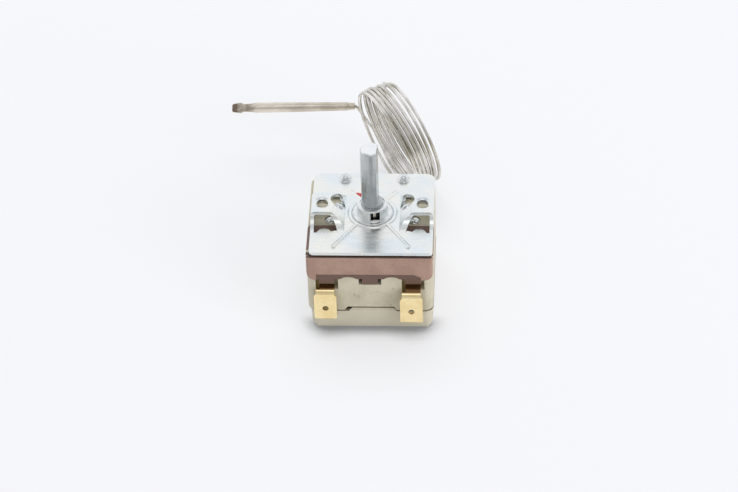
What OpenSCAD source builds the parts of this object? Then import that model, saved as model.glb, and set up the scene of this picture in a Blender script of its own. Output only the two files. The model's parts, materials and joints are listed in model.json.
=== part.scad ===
// Adjustable capillary thermostat: a ceramic switch housing under a square steel
// mounting plate, a turned spindle with a flat, two blade terminals and a coiled
// capillary tube that ends in a sensing bulb.
// The origin lies on the spindle axis at the bottom face. +Z is up along the
// spindle, the terminals face -Y and the capillary leaves towards +Y.

/* [Mounting plate] */
// Thickness of the sheet steel
plate_t = 1; // [0.8:0.1:1.2]
// Corner radius at the front of the plate
plate_front_r = 1; // [0.5:0.1:2]
// Corner radius at the back of the plate
plate_back_r = 2.6; // [1:0.1:3]
// Height of the fixing bridges above the plate
bridge_h = 3.8; // [3:0.1:4.4]
// Distance between the two fixing holes
fixing_pitch = 28; // [27:0.2:28.6]
// Diameter of the tapped fixing holes
fixing_hole_d = 3.3; // [2.5:0.1:3.6]
// Mean radius of the embossed ring round the spindle
ring_r = 6.4; // [6:0.1:6.8]
// Width of the embossed ring
ring_bead_w = 1.3; // [0.8:0.1:1.4]
// Width of the four stiffening ribs
rib_w = 1.6; // [1.2:0.1:2.2]
// Height of the embossing
emboss_h = 0.4; // [0.2:0.05:0.5]

/* [Spindle and bushing] */
// Diameter of the control spindle
spindle_d = 6; // [5.6:0.1:6.2]
// Length of the spindle above the mounting plate
spindle_l = 23.1; // [14:0.1:30]
// Thickness of the spindle across its flat
spindle_flat = 4.6; // [4.2:0.1:5.2]
// Diameter of the bushing rim
bushing_d = 8.6; // [8.4:0.1:9]
// Height of the bushing above the mounting plate
bushing_h = 3.65; // [3.2:0.05:4.5]
// Bore of the recess in the top of the bushing
recess_d = 7; // [6.8:0.1:7.4]
// Full turning angle of the spindle
turn_angle = 270; // [180:5:290]
// Travel of the capsule over the full turn of the spindle
feed_travel = 0.5625; // [0.4:0.0125:0.6]

/* [Ceramic housing] */
// Width of the housing, left to right
housing_w = 35; // [34:0.2:36]
// Depth of the housing, front to back
housing_d = 34.2; // [34:0.2:35]
// Height of the housing body above the bottom cover
housing_h = 19.6; // [19.2:0.1:22]
// Radius of the upright corners of the housing
housing_r = 2.5; // [1.5:0.1:3]
// How far the housing sits to the left of the spindle axis
housing_shift = 0.4; // [0:0.1:0.5]
// Height of the contact chamber inside the housing
chamber_h = 8.6; // [8:0.1:9]
// Thickness of the floor between chamber and capsule
floor_t = 3.4; // [2.8:0.1:3.6]
// Radius of the round space for the capsule
cavity_r = 8.3; // [8.1:0.1:8.5]
// Height of the seats that carry the mounting plate
seat_h = 0.6; // [0.4:0.1:1]

/* [Bottom cover] */
// How far the sides of the cover stay inside the housing
cover_inset_x = 0.3; // [0:0.05:0.8]
// How far the front and back of the cover stay inside the housing
cover_inset_y = 0.05; // [0:0.05:0.6]
// Height of the bottom cover at its sides
cover_h = 6.4; // [5.6:0.1:8]
// Thickness of the bottom of the cover
cover_floor = 2.6; // [2:0.1:3.4]
// Height of the raised tongue in the middle of the seam
seam_step = 0.9; // [0.8:0.1:1.6]
// Slope of the lower side edges
cover_chamfer = 1.3; // [0.6:0.1:2]

/* [Terminal cover] */
// How far the moulded cover stands proud of the housing at each side
apron_proud = 0.1; // [0:0.05:0.7]
// Height of the front apron
apron_h = 8.3; // [7.6:0.1:8.6]
// Thickness of the front apron
apron_t = 0.9; // [0.7:0.1:1.2]
// Thickness of the deck under the mounting plate
deck_t = 3.6; // [3:0.1:4]
// Distance from the spindle axis forward to the back edge of the deck
deck_back = 3.7; // [3.2:0.1:4.5]
// Height of the set-back lip along the lower edge of the apron
lip_h = 2; // [1.2:0.1:2.4]
// Width of the tongues that close the terminal slots
tongue_w = 4.4; // [3.6:0.1:5]

/* [Terminals and contacts] */
// Distance between neighbouring terminal slots
slot_pitch = 12; // [11.6:0.1:12.2]
// Width of a terminal slot
slot_w = 6.3; // [6:0.1:6.6]
// Width of the terminal blades
blade_w = 6.3; // [4.8:0.1:6.3]
// Thickness of the terminal strip
blade_t = 0.8; // [0.5:0.1:1]
// Width of the neck between bend and housing
neck_w = 5.2; // [4:0.1:5.4]
// Height of the blades from tip to strip
blade_h = 10.4; // [9:0.1:11.5]
// Distance from the housing front to the left blade
left_reach = 2; // [1.9:0.1:3]
// Distance from the housing front to the right blade
right_reach = 3.3; // [1.9:0.1:4]
// Hole diameter in the blades
blade_hole_d = 1.7; // [1.2:0.1:2]
// Sideways play of the terminals in their slots
blade_shift = 0.5; // [0:0.1:0.5]

/* [Capillary and bulb] */
// Diameter of the capillary tube
capillary_d = 1; // [0.8:0.1:1.2]
// Mean radius of the wound coil
coil_r = 15.6; // [15.2:0.1:16]
// Depth of the coil across its turns, from the inner to the outer ones
coil_band = 2.4; // [2:0.1:2.4]
// Length of the coil along its axis
coil_l = 10.8; // [10:0.1:10.8]
// Diameter of the sensing bulb at its far end
bulb_d = 3; // [2:0.1:4]
// Length of the round body of the bulb
bulb_l = 29; // [20:0.5:60]
// Length of the flattened end of the bulb
crimp_l = 5.8; // [3:0.2:8]

/* [Hidden] */
$fn = 64;

// Clearances and small gaps
run_gap = 0.05; // radial clearance of a turning or sliding fit
seat_gap = 0.05; // gap between a fixed piece and its pocket
touch_gap = 0.03; // gap between pieces that press on each other
over = 1; // how far a cutting solid runs past the face it opens
deck_proud = 0.2; // how far the deck stands above the housing
apron_front = 0.4; // how far the apron stands before the housing
tongue_rest = 1; // gap between a tongue and the strip below it

// Levels above the bottom face
housing_z = cover_h;
chamber_z = housing_z + chamber_h;
cavity_z = chamber_z + floor_t;
housing_top = housing_z + housing_h;
plate_z = housing_top + seat_h;
plate_top = plate_z + plate_t;
bridge_top = plate_top + bridge_h;
deck_top = housing_top + deck_proud;
deck_z = deck_top - deck_t;
apron_z = deck_top - apron_h;
strip_z = chamber_z - blade_t;
tongue_low = chamber_z + tongue_rest;

// Outlines in plan: the plate lies flush with the front, back and right side of the housing
housing_x = -housing_shift;
plate_w = housing_w - 2*housing_shift;
plate_d = housing_d;
cover_w = housing_w - 2*cover_inset_x;
cover_d = housing_d - 2*cover_inset_y;
apron_w = housing_w + 2*apron_proud;
front_y = -housing_d/2;
apron_y = front_y - apron_front;
slot_x = [for (i = [-1, 0, 1]) housing_x + i*slot_pitch];
blade_x = [slot_x[0] - blade_shift, slot_x[2] - blade_shift];

// Fixing bridges: the tab, its two legs and the window under it
tab_half_l = 4.2;
tab_front_x = 11.4;
tab_back_x = 9.2;
leg_foot_x = 8.1;
window_front = -8.6;
window_back = 7.8;
bend_r = 1.3;
hump_r = 2;
hump_in = 2.9;
flare_steps = 8;

// Stiffening ribs: where they start beside the ring and how far they end from the edges
front_rib_start = [3.9, 4.8];
front_rib_end = [6.5, 2.1];
back_rib_start = [3.3, 5.4];
back_rib_end = [10.3, 7.7];

// Seam between body and cover: half widths of the raised tongue and its play
tongue_foot = 6.75;
tongue_head = 5.9;
tongue_gap = 0.55;
seam_gap = 0.35;

// Rivets
plate_rivet_d = 1.9;
inner_rivet = [9.7, 1.6];
back_rivet = [8.2, plate_d/2 - 2.6];
rivet_collar_d = 3.8;
rivet_dome_d = 3;
cover_rivet = [slot_pitch/2, 2.5];
terminal_rivet = [11.6, -1.2];
terminal_rivet_d = 2.2;
rivet_head_h = 0.8;
head_sink = 1.2;
rivet_clear = 0.1;

// Bushing and spindle below the plate
flange_d = 11.3;
flange_h = 0.4;
neck_d = 8;
lip_d = 10.2;
lip_drop = 0.7;
recess_depth = 2.75;
spindle_flange_d = 8.2;
spindle_flange_h = 0.9;
washer_t = 0.24;
bushing_foot_d = bushing_d + 0.4;
bushing_top = plate_top + bushing_h;
bushing_low = plate_z - lip_drop - 0.3;
recess_floor = bushing_top - recess_depth;
spindle_flange_top = bushing_low - washer_t - 2*touch_gap;
spindle_low = spindle_flange_top - spindle_flange_h;
spindle_top = plate_top + spindle_l;
pin_angle = -78.4;
pin_w = 0.8;
pin_h = 1.6;
pin_lift = 0.1;
pin_depth = 0.8;
pin_reach = recess_d/2 - 0.08;
flat_turn = -4.5;
stop_play = 0.7; // angle left between stop pin and stop at each end
window_x = 0.9; // the look-through window in the front of the bushing
window_w = 2.7;
window_h = 2.5;
window_low = 0.85;

// Terminal slots and the tongues that reach down into them
slot_depth = 2.7;
tongue_play = 0.2;
strip_back = 2.4;

// Capsule with its stud and button
capsule_r = cavity_r - 0.6;
capsule_flat_r = 2.4;
capsule_wave_r = 6.2;
capsule_rim_r = capsule_r - 0.9;
shell_t = 0.35;
capsule_half = 0.9;
wave_h = 0.18;
wave_l = 1.27;
button_h = 0.7;
button_r = 2;
capsule_mid = cavity_z + 0.6 + button_h + capsule_half;
stud_d = 4;
stud_base_d = 5.2;
stud_base_h = 0.7;
stud_top_gap = 0.5;
socket_top = recess_floor - 0.5;
stub_x = 5;
stub_y = 2.6;
stub_z = capsule_mid + 1.8;
spigot_d = 2.2;

// Contacts
pin_d = 3;
pin_tip_d = 1;
contact_d = 3.4;
contact_h = 0.8;
contact_x = -7.4;
spring_t = 0.3;
spring_w = 5;
spring_end_x = -9.3;
anchor_x = 8.9;
anchor_w = 0.8;
spring_z = strip_z - 2*contact_h - spring_t;
pin_low = spring_z + spring_t + run_gap;
pin_top = capsule_mid - capsule_half - button_h - touch_gap;

// Capillary way out of the housing
sleeve_d = 3.1;
sleeve_bore_d = 2.3;
sleeve_l = 5;
sleeve_flange_d = 4.2;
sleeve_flange_t = 0.8;
sleeve_end_y = housing_d/2 + sleeve_flange_t;
lead_y = sleeve_end_y - 2;

// Coil: middle, heading of its axis in plan and tilt of its axis from upright
coil_mid = [5.6, 46.3, 17.5];
coil_heading = 29;
coil_tilt = 78;
cord_sides = 8;
cord_steps = 3;

// Route of the capillary from the sleeve down to the foot of the coil
lead_route = [
    [5, lead_y, stub_z], [5, 18, stub_z], [5, 20.5, 22.3], [5.2, 23.2, 21.2], [5.6, 26, 18],
    [6, 28.5, 13.5], [6.5, 31, 9], [7, 34, 5], [7, 37.5, 2.4], [6.6, 40, 1.4], [6.3, 41.9, 1.2]
];
// Route of the capillary from the back of the coil to the bulb
bulb_neck = [-7.6, 60, 17.8];
tail_route = [[-4.7, 58.2, 13.9], [-5, 58.4, 15.5], [-5.5, 58.9, 17], [-6.5, 59.7, 17.8], bulb_neck];
bulb_heading = 181.8;
bulb_neck_d = 2.1;
bulb_near_d = 2.5;
bulb_neck_l = 1.6;
crimp_t = 1.3;

// Helpers

function unit(v) = v / norm(v);

// A point on the smooth curve through b and c, with a and d as neighbours
function curve_point(a, b, c, d, t) =
    0.5*(2*b + (c - a)*t + (2*a - 5*b + 4*c - d)*t*t + (3*b - a - 3*c + d)*t*t*t);

// The route with further points between its own, on one smooth curve
function smooth(p, steps) = let(last = len(p) - 1) [
    for (i = [0 : last - 1], s = [0 : steps - 1])
        curve_point(p[max(i - 1, 0)], p[i], p[i + 1], p[min(i + 2, last)], s/steps),
    p[last]
];

// One ring of points round a route, square to its direction
function ring(p, i, r) = let(
    t = unit(p[min(i + 1, len(p) - 1)] - p[max(i - 1, 0)]),
    a = unit(cross([0, 0, 1], t)),
    b = cross(t, a)
) [for (k = [0 : cord_sides - 1]) let(w = 360*k/cord_sides) p[i] + r*(cos(w)*a + sin(w)*b)];

// Points on an arc, from angle a0 to angle a1
function arc(mid, r, a0, a1, n = 6) =
    [for (i = [0 : n]) let(w = a0 + (a1 - a0)*i/n) mid + r*[cos(w), sin(w)]];

module tube(route, d) {
    p = smooth(route, cord_steps);
    n = len(p);
    points = [for (i = [0 : n - 1]) each ring(p, i, d/2)];
    sides = [for (i = [0 : n - 2], k = [0 : cord_sides - 1]) let(m = (k + 1) % cord_sides)
        [i*cord_sides + k, i*cord_sides + m, (i + 1)*cord_sides + m, (i + 1)*cord_sides + k]];
    start = [for (k = [0 : cord_sides - 1]) cord_sides - 1 - k];
    finish = [for (k = [0 : cord_sides - 1]) (n - 1)*cord_sides + k];
    polyhedron(points, concat(sides, [start, finish]));
}

module rounded_rect(w, d, r) {
    square([w - 2*r, d], center = true);
    square([w, d - 2*r], center = true);
    for (sx = [-1, 1], sy = [-1, 1]) translate([sx*(w/2 - r), sy*(d/2 - r)]) circle(r);
}

// Extrudes an outline drawn in x and z along y, between two values of y
module along_y(y0, y1) {
    translate([0, y1, 0]) rotate([90, 0, 0]) linear_extrude(y1 - y0) children();
}

// Extrudes an outline drawn in y and z along x, between two values of x
module along_x(x0, x1) {
    translate([x0, 0, 0]) rotate([90, 0, 90]) linear_extrude(x1 - x0) children();
}

module block(low, high) {
    translate(low) cube(high - low);
}

module pole(at, r, z0, z1) {
    translate([at[0], at[1], z0]) cylinder(r = r, h = z1 - z0);
}

module both_sides() {
    children();
    mirror([1, 0, 0]) children();
}

// Mounting plate

module plate_outline() {
    half_w = plate_w/2;
    half_d = plate_d/2;
    square([plate_w - 2*plate_back_r, plate_d], center = true);
    translate([-half_w, plate_front_r - half_d])
        square([plate_w, plate_d - plate_front_r - plate_back_r]);
    translate([plate_front_r - half_w, -half_d]) square([plate_w - 2*plate_front_r, half_d]);
    for (s = [-1, 1]) {
        translate([s*(half_w - plate_back_r), half_d - plate_back_r]) circle(plate_back_r);
        translate([s*(half_w - plate_front_r), plate_front_r - half_d]) circle(plate_front_r);
    }
}

// The opening that is left in the sheet where a bridge was drawn up
module window_outline() {
    outer = plate_w/2 - plate_t;
    polygon(concat(
        [[leg_foot_x, window_back], [outer, window_back], [outer, window_front]],
        [[outer + hump_r - hump_in + 0.1, window_front]],
        arc([outer - hump_in, window_front - 0.2], hump_r, 20, 160, 5),
        [[leg_foot_x + 1.8, window_front + 0.9], [leg_foot_x, window_front + 0.5]]
    ));
}

// The sheet of a bridge seen from the front: outer leg, tab and sloping inner leg
module bridge_profile(tab_inner_x) {
    outer = plate_w/2;
    low = plate_z;
    polygon(concat(
        [[outer, low]],
        arc([outer - bend_r, bridge_top - bend_r], bend_r, 0, 90),
        arc([tab_inner_x + 0.4, bridge_top - bend_r], bend_r, 90, 150, 4),
        [[leg_foot_x - plate_t/2 + 0.2, plate_top + 0.4], [leg_foot_x - plate_t/2, plate_top - 0.1]],
        [[leg_foot_x - plate_t/2, low], [leg_foot_x + plate_t/2, low]],
        arc([tab_inner_x + 0.4, bridge_top - bend_r], bend_r - plate_t, 150, 90, 3),
        arc([outer - bend_r, bridge_top - bend_r], bend_r - plate_t, 90, 0, 3),
        [[outer - plate_t, low]]
    ));
}

// The side view of a bridge: narrow at the tab, flaring out to the foot of its legs
module bridge_flare() {
    h = bridge_top - plate_top;
    rise = [for (i = [0 : flare_steps]) i/flare_steps];
    spread = window_back - tab_half_l;
    reach = -window_front - tab_half_l;
    polygon(concat(
        [[window_front, plate_z], [window_back, plate_z]],
        [for (t = rise) [tab_half_l + spread*pow(1 - t, 3), plate_top + h*t]],
        [for (i = [flare_steps : -1 : 0]) let(t = rise[i])
            [-tab_half_l - reach*pow(1 - t, 3), plate_top + h*t]]
    ));
}

module bridge() {
    intersection() {
        // The inner leg slopes gently before the rivet and steeply behind it
        union() {
            along_y(window_front - over, inner_rivet[1]) bridge_profile(tab_front_x);
            along_y(inner_rivet[1], window_back + over) bridge_profile(tab_back_x);
        }
        along_x(leg_foot_x - over, plate_w/2 + over) bridge_flare();
    }
}

// A round-topped bead that stands emboss_h out of the sheet
function bead_r(w) = (w*w/4 + emboss_h*emboss_h)/(2*emboss_h);

module ring_bead() {
    r = bead_r(ring_bead_w);
    rotate_extrude() intersection() {
        translate([ring_r, emboss_h - r]) circle(r);
        translate([ring_r - ring_bead_w/2, -0.2]) square([ring_bead_w, emboss_h + 0.4]);
    }
}

module rib_bead(start, finish) {
    r = bead_r(rib_w);
    run = finish - start;
    turn = atan2(run[1], run[0]);
    translate([start[0], start[1], 0]) rotate([0, 0, turn]) intersection() {
        translate([0, 0, emboss_h - r]) rotate([0, 90, 0]) cylinder(r = r, h = norm(run));
        translate([0, 0, -0.2]) linear_extrude(emboss_h + 0.4) union() {
            square([2*(norm(run) - rib_w/2), rib_w], center = true);
            translate([norm(run) - rib_w/2, 0]) circle(rib_w/2);
        }
    }
}

module embossing() {
    ring_bead();
    both_sides() {
        rib_bead([front_rib_start[0], -front_rib_start[1]],
            [plate_w/2 - front_rib_end[0], front_rib_end[1] - plate_d/2]);
        rib_bead(back_rib_start, [plate_w/2 - back_rib_end[0], plate_d/2 - back_rib_end[1]]);
    }
}

module mounting_plate() {
    ear_r = rivet_collar_d/2;
    hole_r = fixing_hole_d/2;
    sink = 0.45;
    collar_h = 0.8;
    collar_t = 0.65;
    color([0.74, 0.78, 0.8]) difference() {
        union() {
            translate([0, 0, plate_z]) linear_extrude(plate_t) difference() {
                plate_outline();
                both_sides() difference() {
                    window_outline();
                    translate(inner_rivet) circle(ear_r);
                }
            }
            translate([0, 0, plate_top]) embossing();
            both_sides() difference() {
                union() {
                    bridge();
                    pole([fixing_pitch/2, 0], hole_r + collar_t, bridge_top - plate_t - collar_h, bridge_top - sink);
                }
                pole(inner_rivet, ear_r + 0.15, plate_top, bridge_top + over);
            }
        }
        translate([0, 0, plate_z - 0.01]) embossing();
        pole([0, 0], neck_d/2, plate_z - over, plate_top + over);
        both_sides() {
            pole([fixing_pitch/2, 0], hole_r, bridge_top - plate_t - collar_h - over, bridge_top + over);
            translate([fixing_pitch/2, 0, bridge_top - sink])
                cylinder(r1 = hole_r, r2 = hole_r + 2*sink, h = sink + 0.01);
            for (at = [inner_rivet, back_rivet]) pole(at, plate_rivet_d/2, plate_z - over, plate_top + over);
        }
    }
}

// Bushing and spindle

module spindle_bushing() {
    low = bushing_low;
    bore_r = spindle_d/2 + run_gap;
    pin_half = asin(2*pin_w/(spindle_d + recess_d)) + stop_play;
    stop_start = pin_angle + pin_half;
    stop_end = pin_angle + 360 - turn_angle - pin_half;
    chamfer = 0.2;
    color([0.66, 0.68, 0.7]) {
        difference() {
            rotate_extrude() polygon([
                [bore_r, low], [lip_d/2 - chamfer, low], [lip_d/2, low + chamfer],
                [lip_d/2, plate_z], [neck_d/2, plate_z],
                [neck_d/2, plate_top], [flange_d/2 - chamfer, plate_top],
                [flange_d/2, plate_top + chamfer], [flange_d/2 - chamfer, plate_top + flange_h],
                [bushing_foot_d/2, plate_top + flange_h],
                [bushing_d/2, bushing_top - chamfer], [bushing_d/2 - chamfer, bushing_top],
                [recess_d/2, bushing_top], [recess_d/2, recess_floor], [bore_r, recess_floor]
            ]);
            block([window_x - window_w/2, -bushing_d, plate_top + window_low],
                [window_x + window_w/2, -bore_r, plate_top + window_low + window_h]);
        }
        rotate([0, 0, stop_start]) translate([0, 0, recess_floor - 0.1])
            rotate_extrude(angle = stop_end - stop_start) translate([bore_r, 0])
                square([(recess_d - spindle_d)/2, recess_depth - 0.6]);
    }
}

module control_spindle() {
    r = spindle_d/2;
    chamfer = 0.5;
    flat_low = bushing_top + 0.8;
    color([0.6, 0.62, 0.64]) difference() {
        rotate_extrude() polygon([
            [0, spindle_low], [spindle_flange_d/2, spindle_low],
            [spindle_flange_d/2, spindle_flange_top], [r, spindle_flange_top],
            [r, spindle_top - chamfer], [r - chamfer, spindle_top], [0, spindle_top]
        ]);
        rotate([0, 0, flat_turn])
            block([spindle_flat - r, -r - over, flat_low], [r + over, r + over, spindle_top + over]);
        pole([0, 0], stud_d/2 + run_gap, spindle_low - over, socket_top);
        stop_pin_solid(r + over);
    }
}

module stop_pin_solid(reach) {
    rotate([0, 0, pin_angle])
        block([spindle_d/2 - pin_depth, -pin_w/2, recess_floor + pin_lift],
            [reach, pin_w/2, recess_floor + pin_lift + pin_h]);
}

module stop_pin() {
    color([0.8, 0.8, 0.78]) stop_pin_solid(pin_reach);
}

module spring_washer() {
    color([0.7, 0.71, 0.72]) translate([0, 0, spindle_flange_top + touch_gap]) difference() {
        cylinder(d = spindle_flange_d, h = washer_t);
        translate([0, 0, -over]) cylinder(r = spindle_d/2 + 0.15, h = washer_t + 2*over);
    }
}

// Ceramic housing

module slot_cuts() {
    for (i = [0, 2]) {
        block([slot_x[i] - slot_w/2, front_y - over, strip_z - seat_gap],
            [slot_x[i] + slot_w/2, front_y + slot_depth, deck_z + over]);
        block([blade_x[i/2] - neck_w/2 - seat_gap, front_y, strip_z - seat_gap],
            [blade_x[i/2] + neck_w/2 + seat_gap, strip_back + seat_gap, chamber_z]);
    }
    block([slot_x[1] - slot_w/2, front_y - over, tongue_low - tongue_play],
        [slot_x[1] + slot_w/2, front_y + slot_depth, deck_z + over]);
}

// Outline of the seam between body and cover, raised in the middle
module seam_outline(foot, head, top) {
    polygon([[-foot, 0], [foot, 0], [head, top], [-head, top]]);
}

module post_block(side, grow) {
    post_w = 1.7;
    x = housing_x + side*housing_w/2;
    inner = x - side*(post_w + grow);
    outer = x + side*over;
    block([min(inner, outer), front_y + 0.6 - grow, deck_z - over],
        [max(inner, outer), front_y + 3 + grow, housing_top]);
}

// Round bosses on the housing front that reach up into the lip of the apron
module boss_outline(grow) {
    r = 3.6;
    rise = 0.7;
    for (s = [-1, 1]) translate([housing_x + s*slot_pitch/2, apron_z + rise - r]) circle(r + grow);
}

module upper_housing() {
    wall_side = 3.2;
    wall_front = 4.7;
    wall_back = 5.5;
    channel_r = sleeve_d/2 + seat_gap;
    seat_r = 3;
    color([0.72, 0.68, 0.58]) difference() {
        union() {
            translate([housing_x, 0, housing_z]) linear_extrude(housing_h)
                rounded_rect(housing_w, housing_d, housing_r);
            both_sides() for (at = [inner_rivet, back_rivet]) pole(at, seat_r - 0.9, housing_top - over, plate_z);
        }
        // Step for the deck of the terminal cover, leaving the two corner posts
        difference() {
            block([housing_x - housing_w, front_y - over, deck_z],
                [housing_x + housing_w, -deck_back + seat_gap, housing_top + over]);
            for (s = [-1, 1]) post_block(s, 0);
        }
        // Recess for the apron, leaving the two round bosses
        difference() {
            block([housing_x - housing_w, front_y - over, apron_z - seat_gap],
                [housing_x + housing_w, apron_y + apron_t, housing_top + over]);
            along_y(front_y, front_y + 2*over) boss_outline(0);
        }
        block([housing_x + wall_side - housing_w/2, front_y + wall_front, housing_z - over],
            [housing_x + housing_w/2 - wall_side, housing_d/2 - wall_back, chamber_z]);
        pole([0, 0], cavity_r, cavity_z, housing_top + over);
        pole([0, 0], pin_d/2 + run_gap, chamber_z - over, cavity_z + over);
        slot_cuts();
        along_y(-housing_d, housing_d) translate([housing_x, housing_z])
            seam_outline(tongue_foot + tongue_gap, tongue_head + tongue_gap, seam_step + seam_gap);
        // Way out for the capillary, open upwards
        along_y(0, housing_d) union() {
            translate([stub_x, stub_z]) circle(channel_r);
            translate([stub_x - channel_r, stub_z]) square([2*channel_r, housing_h]);
        }
        both_sides() {
            pole(inner_rivet, plate_rivet_d/2 + rivet_clear, chamber_z - over, plate_z + over);
            pole(inner_rivet, rivet_collar_d/2 - 0.1, chamber_z - over, cavity_z - rivet_head_h);
            pole(back_rivet, plate_rivet_d/2 + rivet_clear, 0, plate_z + over);
            pole(terminal_rivet, terminal_rivet_d/2 + rivet_clear, chamber_z - over, housing_top + over);
            pole(terminal_rivet, contact_d/2 + rivet_clear, housing_top - 0.6, housing_top + over);
        }
        for (s = [-1, 1])
            pole([housing_x + s*cover_rivet[0], front_y + cover_rivet[1]], plate_rivet_d/2 + rivet_clear,
                0, housing_top + over);
    }
}

module bottom_cover() {
    draft = 0.35;
    edge = 0.3;
    groove = 0.4;
    wall = 3;
    side_wall = 3.8;
    front_wall = 5.2;
    back_wall = 6;
    half_w = cover_w/2;
    half_d = cover_d/2;
    top = cover_h + seam_step + over;
    color([0.76, 0.73, 0.64]) difference() {
        intersection() {
            union() {
                linear_extrude(cover_h - groove) rounded_rect(cover_w, cover_d, housing_r);
                linear_extrude(cover_h) rounded_rect(cover_w - 2*groove, cover_d - 2*groove, housing_r);
                for (s = [-1, 1]) translate([0, s*(half_d - (wall + groove)/2), 0])
                    along_y(-(wall - groove)/2, (wall - groove)/2)
                        translate([0, cover_h - 0.01]) seam_outline(tongue_foot, tongue_head, seam_step + 0.01);
            }
            along_y(-housing_d, housing_d) polygon([
                [cover_chamfer - half_w + draft, 0], [half_w - draft - cover_chamfer, 0],
                [half_w - draft, cover_chamfer*1.2], [half_w, cover_h], [half_w, top],
                [-half_w, top], [-half_w, cover_h], [draft - half_w, cover_chamfer*1.2]
            ]);
            along_x(-housing_w, housing_w) polygon([
                [edge - half_d, 0], [half_d - edge, 0], [half_d, edge], [half_d, top],
                [-half_d, top], [-half_d, edge]
            ]);
        }
        block([side_wall - half_w, front_wall - half_d, cover_floor],
            [half_w - side_wall, half_d - back_wall, cover_h + over]);
        both_sides() {
            pole(back_rivet, plate_rivet_d/2 + rivet_clear, -over, cover_h + over);
            pole(back_rivet, rivet_collar_d/2 + 0.2, -over, head_sink);
        }
        for (s = [-1, 1]) {
            at = [housing_x + s*cover_rivet[0], front_y + cover_rivet[1]];
            pole(at, plate_rivet_d/2 + rivet_clear, -over, top);
            pole(at, rivet_collar_d/2 + 0.2, -over, head_sink);
        }
    }
}

// Terminal cover

module apron_outline() {
    corner = 2.5;
    soft = 0.6;
    half = apron_w/2;
    translate([housing_x, 0]) {
        translate([-half, apron_z + corner]) square([apron_w, apron_h - corner - soft]);
        translate([soft - half, deck_top - over]) square([apron_w - 2*soft, over]);
        translate([corner - half, apron_z]) square([apron_w - 2*corner, apron_h - soft]);
        for (s = [-1, 1]) {
            translate([s*(half - corner), apron_z + corner]) circle(corner);
            translate([s*(half - soft), deck_top - soft]) circle(soft);
        }
    }
}

module terminal_cover() {
    edge_r = 1.1;
    lip_set = 0.45;
    lip_left = apron_w/2 - 2.7;
    lip_right = apron_w/2 - 3.4;
    back = apron_y + apron_t;
    color([0.42, 0.26, 0.22]) difference() {
        union() {
            intersection() {
                translate([housing_x, (apron_y - deck_back)/2, apron_z]) linear_extrude(apron_h)
                    rounded_rect(apron_w, -deck_back - apron_y, edge_r);
                union() {
                    along_y(apron_y, back - seat_gap) apron_outline();
                    block([housing_x - housing_w, apron_y + edge_r, deck_z + seat_gap],
                        [housing_x + housing_w, -deck_back, deck_top]);
                }
            }
            for (x = slot_x) block([x - tongue_w/2, apron_y + lip_set + 0.15, tongue_low],
                [x + tongue_w/2, front_y + slot_depth - tongue_play, deck_z + over]);
        }
        // Set-back lip along the lower edge, with a sloping right-hand end
        along_y(apron_y - over, apron_y + lip_set) polygon([
            [housing_x - lip_left, apron_z - over], [housing_x - lip_left, apron_z + lip_h],
            [housing_x + lip_right - 2, apron_z + lip_h], [housing_x + lip_right, apron_z + lip_h - 1],
            [housing_x + lip_right, apron_z - over]
        ]);
        along_y(apron_y - over, front_y + over) intersection() {
            boss_outline(0.1);
            translate([-housing_w, apron_z - 1]) square([2*housing_w, 2*lip_h]);
        }
        for (s = [-1, 1]) {
            post_block(s, 0.1);
            pole([housing_x + s*cover_rivet[0], front_y + cover_rivet[1]], plate_rivet_d/2 + rivet_clear,
                apron_z, deck_top + over);
            pole([housing_x + s*cover_rivet[0], front_y + cover_rivet[1]], rivet_collar_d/2 + 0.1,
                deck_top - rivet_head_h, deck_top + over);
        }
        pole([0, 0], cavity_r + 0.3, apron_z, deck_top + over);
        // Shallow relief under the rim of the mounting plate
        block([housing_x - housing_w, apron_y + 2.2, deck_top - deck_proud],
            [housing_x + housing_w, -deck_back + over, deck_top + over]);
    }
}

// Terminals and contacts

// Side view of a strip that runs forward out of the housing and bends down
module strip_side(reach) {
    r = 1.4;
    out = front_y - reach;
    tip = chamber_z - blade_h;
    polygon(concat(
        [[strip_back, chamber_z]],
        arc([out + r, chamber_z - r], r, 90, 180),
        [[out, tip + 0.4], [out + 0.2, tip], [out + blade_t - 0.2, tip], [out + blade_t, tip + 0.4]],
        arc([out + r, chamber_z - r], r - blade_t, 180, 90),
        [[strip_back, strip_z]]
    ));
}

// Front view of a blade with sloping shoulders and a rounded or bevelled tip
module blade_front(tip_cut) {
    tip = chamber_z - blade_h;
    shoulder = chamber_z - 1.9;
    half = blade_w/2;
    neck = neck_w/2;
    polygon([
        [-neck, chamber_z + over], [-neck, shoulder + 0.5], [-half, shoulder - 0.3],
        [-half, tip + tip_cut], [tip_cut - half, tip], [half - tip_cut, tip],
        [half, tip + tip_cut], [half, shoulder - 0.3], [neck, shoulder + 0.5], [neck, chamber_z + over]
    ]);
}

module terminal(x, reach, tip_cut) {
    hole_up = 4.1;
    out = front_y - reach;
    tip = chamber_z - blade_h;
    difference() {
        intersection() {
            along_x(x - blade_w/2, x + blade_w/2) strip_side(reach);
            translate([x, 0, 0]) along_y(out - over, strip_back + over) blade_front(tip_cut);
        }
        translate([x, out - over, tip + hole_up]) rotate([-90, 0, 0]) cylinder(d = blade_hole_d, h = blade_t + 2*over);
    }
}

module left_terminal() {
    color([0.83, 0.66, 0.34]) difference() {
        union() {
            terminal(blade_x[0], left_reach, 0.7);
            block([blade_x[0], -strip_back, strip_z], [contact_x + 2, strip_back, chamber_z]);
        }
        pole([-terminal_rivet[0], terminal_rivet[1]], terminal_rivet_d/2, strip_z - over, chamber_z + over);
    }
}

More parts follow.
